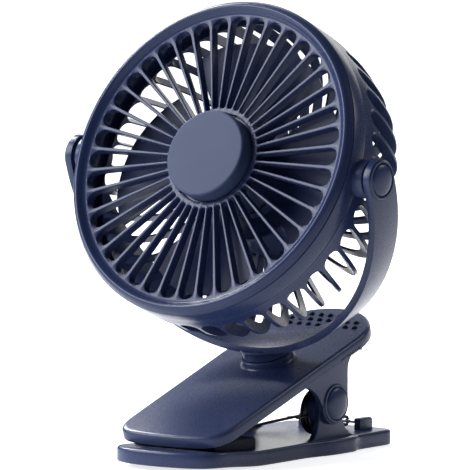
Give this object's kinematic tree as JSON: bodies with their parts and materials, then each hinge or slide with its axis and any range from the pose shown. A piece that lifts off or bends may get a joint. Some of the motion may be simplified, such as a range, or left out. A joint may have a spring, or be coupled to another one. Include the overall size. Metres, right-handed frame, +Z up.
{
  "type": "clip fan",
  "caption": "Round caged fan head that tilts in a U-shaped yoke and swivels on a sprung two-jaw clip.",
  "frame": {"origin": "middle of the underside of the lower jaw, which stands on the surface", "axes": "+Z up, -Y towards the mouth of the clip and the side that the fan blows to, X across the clip"},
  "size_m": [0.1684, 0.1403, 0.1988],
  "materials": {
    "navy": "satin",
    "navy_disc": "fine texture",
    "navy_dark": "satin",
    "rubber_dark": "matt",
    "steel": "bright",
    "spring_steel": "blackened",
    "board": "satin",
    "cell_wrap": "satin",
    "lens": "clear"
  },
  "bodies": {
    "lower_clip": {"lower_jaw": "navy", "jaw_sole": "rubber_dark", "spring_rod": "steel", "lower_pad": "rubber_dark", "spring_right": "spring_steel", "spring_left": "spring_steel"},
    "upper_clip": {"upper_jaw": "navy", "jaw_cover": "navy_dark", "cover_screw_1": "steel", "cover_screw_2": "steel", "cover_screw_3": "steel", "cover_screw_4": "steel", "handle_grip": "rubber_dark", "upper_pad": "rubber_dark", "hinge_pin_right": "steel", "hinge_pin_left": "steel", "hinge_cap_right": "navy", "hinge_cap_left": "navy"},
    "yoke_arm": {"yoke": "navy", "tilt_screw_right": "steel", "tilt_screw_left": "steel", "tilt_cap_right": "navy", "tilt_cap_left": "navy", "tilt_washer_right": "rubber_dark", "tilt_washer_left": "rubber_dark", "swivel_washer": "steel", "swivel_screw": "steel"},
    "head": {"front_grille": "navy", "hub_disc": "navy_disc", "front_shell": "navy", "rear_basket": "navy", "rear_lid": "navy", "lid_screw_1": "steel", "lid_screw_2": "steel", "lid_screw_3": "steel", "indicator_lens": "lens", "circuit_board": "board", "charge_port": "steel", "battery_cell": "cell_wrap", "motor": "steel"},
    "rotor": {"impeller": "navy_dark", "motor_shaft": "steel", "shaft_nut": "steel"},
    "button": {"power_button": "navy_disc"}
  },
  "joints": [
    {"name": "clip_hinge", "type": "hinge", "parent": "lower_clip", "child": "upper_clip", "pos_m": [0, 0.0248, 0.0224], "axis": [-1, 0, 0], "range_deg": [0, 28], "stiffness_Nm_per_rad": 0.5, "springref_deg": -40.11},
    {"name": "swivel", "type": "hinge", "parent": "upper_clip", "child": "yoke_arm", "pos_m": [0, 0.01396, 0.04035], "axis": [0, -0.3145, 0.9493], "continuous": true},
    {"name": "tilt", "type": "hinge", "parent": "yoke_arm", "child": "head", "pos_m": [0, -0.015, 0.12778], "axis": [1, 0, 0], "range_deg": [-65, 114]},
    {"name": "impeller_spin", "type": "hinge", "parent": "head", "child": "rotor", "pos_m": [0, -0.015, 0.12778], "axis": [0, -0.9089, 0.4171], "continuous": true},
    {"name": "power_button_press", "type": "slide", "parent": "head", "child": "button", "axis": [0, -0.9089, 0.4171], "range_m": [0, 0.0008], "stiffness_N_per_m": 1500, "springref_m": -0.0004}
  ]
}
